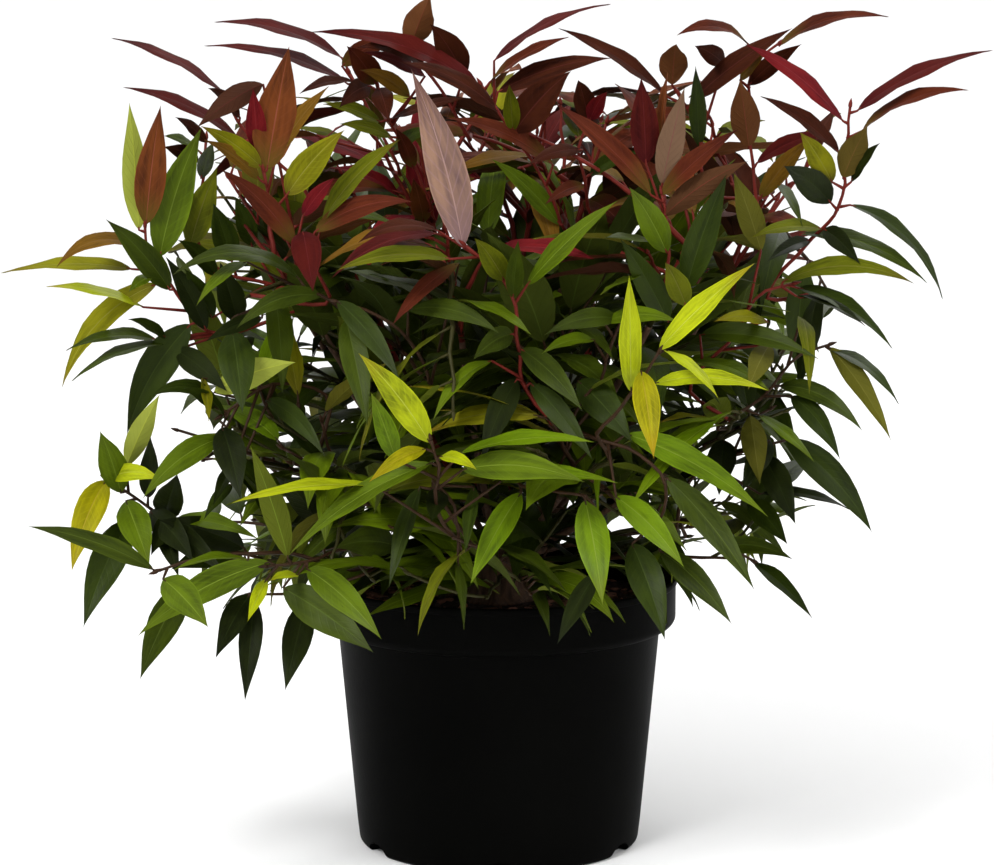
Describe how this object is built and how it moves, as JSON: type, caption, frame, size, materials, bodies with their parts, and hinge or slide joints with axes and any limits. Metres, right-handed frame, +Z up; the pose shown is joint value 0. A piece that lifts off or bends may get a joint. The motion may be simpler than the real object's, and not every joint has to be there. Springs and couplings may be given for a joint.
{
  "type": "potted leucothoe shrub",
  "caption": "Bushy evergreen shrub with arching canes and lance-shaped leaves, young ones burgundy, standing in a round tapered nursery pot filled with potting mix.",
  "frame": {"origin": "centre of the pot's flat underside, on the surface that the pot stands on", "axes": "+Z up along the pot's axis, -Y towards the front as pictured, +X to the right"},
  "size_m": [0.5208, 0.4695, 0.4484],
  "materials": {
    "pot_plastic": "satin",
    "potting_mix": "matte",
    "bark": "satin",
    "young_leaf": "satin",
    "grown_leaf": "satin"
  },
  "bodies": {
    "root": {"pot": "pot_plastic", "potting_mix": "potting_mix", "short_stem": "bark", "bough_inner_01": "bark", "bough_inner_02": "bark", "bough_inner_03": "bark", "bough_inner_04": "bark", "bough_top_01": "bark", "bough_top_02": "bark", "bough_top_03": "bark", "bough_upper_01": "bark", "bough_upper_02": "bark", "bough_upper_03": "bark", "bough_upper_04": "bark", "bough_upper_05": "bark", "bough_upper_06": "bark", "bough_upper_07": "bark", "bough_upper_08": "bark", "bough_middle_01": "bark", "bough_middle_02": "bark", "bough_middle_03": "bark", "bough_middle_04": "bark", "bough_middle_05": "bark", "bough_middle_06": "bark", "bough_middle_07": "bark", "bough_lower_01": "bark", "bough_lower_02": "bark", "bough_lower_03": "bark", "bough_lower_04": "bark", "bough_lower_05": "bark", "bough_lower_06": "bark", "foliage_inner_01": "grown_leaf", "foliage_inner_02": "grown_leaf", "foliage_inner_03": "grown_leaf", "foliage_inner_04": "grown_leaf", "foliage_top_01": "young_leaf", "foliage_top_02": "young_leaf", "foliage_top_03": "young_leaf", "foliage_upper_01": "young_leaf", "foliage_upper_02": "young_leaf", "foliage_upper_03": "young_leaf", "foliage_upper_04": "young_leaf", "foliage_upper_05": "young_leaf", "foliage_upper_06": "young_leaf", "foliage_upper_07": "young_leaf", "foliage_upper_08": "young_leaf", "foliage_middle_01": "grown_leaf", "foliage_middle_02": "grown_leaf", "foliage_middle_03": "grown_leaf", "foliage_middle_04": "grown_leaf", "foliage_middle_05": "grown_leaf", "foliage_middle_06": "grown_leaf", "foliage_middle_07": "grown_leaf", "foliage_lower_01": "grown_leaf", "foliage_lower_02": "grown_leaf", "foliage_lower_03": "grown_leaf", "foliage_lower_04": "grown_leaf", "foliage_lower_05": "grown_leaf", "foliage_lower_06": "grown_leaf"}
  },
  "joints": []
}
